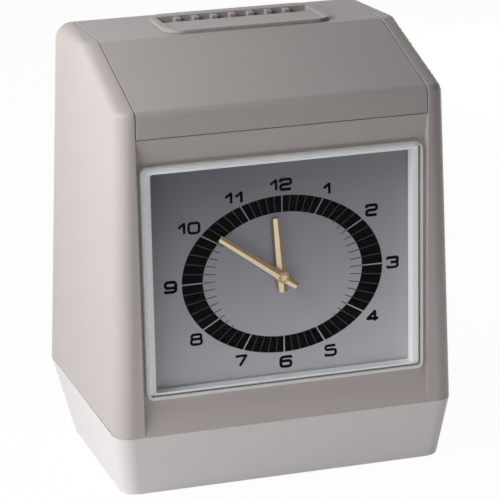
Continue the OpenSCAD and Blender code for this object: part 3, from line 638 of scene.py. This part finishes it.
def rounded_path(corners, closed, radius):
    """Points along straight runs whose corners are arcs."""
    points = []
    count = len(corners)
    for i, corner in enumerate(corners):
        here = Vector(corner)
        if not closed and i in (0, count - 1):
            points.append(here)
            continue
        back = Vector(corners[i - 1]) - here
        ahead = Vector(corners[(i + 1) % count]) - here
        cut = min(radius, back.length * 0.5, ahead.length * 0.5)
        first = here + back.normalized() * cut
        last = here + ahead.normalized() * cut
        for step in range(ARC_STEPS + 1):
            t = step / ARC_STEPS
            points.append(first.lerp(here, t).lerp(here.lerp(last, t), t))
    return points


def make_numeral(number, finishes):
    """One hour numeral, drawn with a broad pen and pressed nearly flat."""
    text = str(number)
    curve = bpy.data.curves.new("pen", "CURVE")
    curve.dimensions = "3D"
    curve.bevel_depth = NUMERAL_PEN / 2 * MM
    curve.bevel_resolution = 1
    curve.use_fill_caps = True
    run = NUMERAL_WIDE - NUMERAL_PEN
    rise = NUMERAL_HIGH - NUMERAL_PEN
    widths = [NUMERAL_PEN + run * (ONE_SHARE if digit == "1" else 1.0) for digit in text]
    total = sum(widths) + NUMERAL_APART * (len(text) - 1)
    left = NUMERAL_PLACES[number][0] - total / 2 + NUMERAL_PEN / 2
    foot = NUMERAL_PLACES[number][1] - NUMERAL_HIGH / 2 + NUMERAL_PEN / 2
    for digit, width in zip(text, widths):
        radius = ANGULAR_RADIUS if digit in ANGULAR_DIGITS else ROUND_RADIUS
        for corners, closed in STROKES[digit]:
            scaled = [(left + x * run, foot + z * rise) for x, z in corners]
            points = rounded_path(scaled, closed, radius)
            spline = curve.splines.new("POLY")
            spline.points.add(len(points) - 1)
            spline.use_cyclic_u = closed
            for knot, point in zip(spline.points, points):
                knot.co = ((TRACK_MIDDLE_X + point.x) * MM, 0, (TRACK_MIDDLE_Z + point.y) * MM, 1)
        left += width + NUMERAL_APART
    pen = bpy.data.objects.new("pen", curve)
    mesh = bpy.data.meshes.new_from_object(pen)
    bpy.data.objects.remove(pen)
    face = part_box("dial_plate")[0].y
    flatter = PRINT_THICK / NUMERAL_PEN
    for v in mesh.vertices:
        v.co.y = face + v.co.y * flatter - PRINT_THICK * 0.45 * MM
    mesh.name = f"numeral_{number}"
    add_piece(mesh.name, mesh, "case", finishes["print_black"])


# Stage

def make_camera():
    data = bpy.data.cameras.new("camera")
    data.lens = CAMERA_LENS
    data.sensor_width = CAMERA_SENSOR
    data.clip_start = CAMERA_NEAR
    data.clip_end = CAMERA_FAR
    camera = bpy.data.objects.new("camera", data)
    turn = Matrix((CAMERA_RIGHT, CAMERA_UP, -CAMERA_FORWARD)).transposed().to_4x4()
    camera.matrix_world = Matrix.Translation(CAMERA_PLACE) @ turn
    bpy.context.scene.collection.objects.link(camera)
    bpy.context.scene.camera = camera


def make_lamp(name, place, target, wide, high, watts, mirrored):
    data = bpy.data.lights.new(name, "AREA")
    data.shape = "RECTANGLE"
    data.size = wide
    data.size_y = high
    data.energy = watts
    lamp = bpy.data.objects.new(name, data)
    lamp.location = place
    lamp.rotation_euler = (Vector(target) - Vector(place)).to_track_quat("-Z", "Y").to_euler()
    lamp.visible_glossy = mirrored
    bpy.context.scene.collection.objects.link(lamp)


def seen_directly(f):
    """1 for rays that see the surface itself, also in metal and glass, and 0 for the light it gives."""
    kinds = ("Is Camera Ray", "Is Glossy Ray", "Is Transmission Ray")
    camera, glossy, through = (f.add("LightPath", out=kind) for kind in kinds)
    return f.maths("MAXIMUM", f.maths("MAXIMUM", camera, glossy), through)


def make_room():
    world = bpy.data.worlds.new("studio")
    bpy.context.scene.world = world
    f = Finish(world)
    dim = f.add("Background", None, Color=(1, 1, 1), Strength=AMBIENT)
    white = f.add("Background", None, Color=(1, 1, 1), Strength=1.0)
    f.done(f.add("MixShader", None, seen_directly(f), dim, white), "World")


def make_floor():
    f = new_finish("white_floor")
    fine = f.noise(40, 2)
    matt = f.add("BsdfDiffuse", None, Color=f.blend(fine, (0.84, 0.84, 0.84), (0.88, 0.88, 0.88)))
    glow = f.add("Emission", None, Color=(1, 1, 1), Strength=1.0)
    f.done(f.add("MixShader", None, seen_directly(f) * FLOOR_WHITE, matt, glow))
    bm = bmesh.new()
    bmesh.ops.create_grid(bm, x_segments=1, y_segments=1, size=FLOOR_WIDE / 2)
    mesh = bpy.data.meshes.new("floor")
    bm.to_mesh(mesh)
    bm.free()
    mesh.materials.append(f.owner)
    floor = bpy.data.objects.new("floor", mesh)
    bpy.context.scene.collection.objects.link(floor)


bpy.context.scene.view_settings.view_transform = "Standard"
make_camera()
make_room()
make_floor()
for name, lamp in LAMPS.items():
    make_lamp(name, *lamp)

finishes = make_finishes()
for node in frame["nodes"]:
    dress(node, finishes)
make_inlet_tray(finishes)
make_minute_track(finishes)
for number in NUMERAL_PLACES:
    make_numeral(number, finishes)
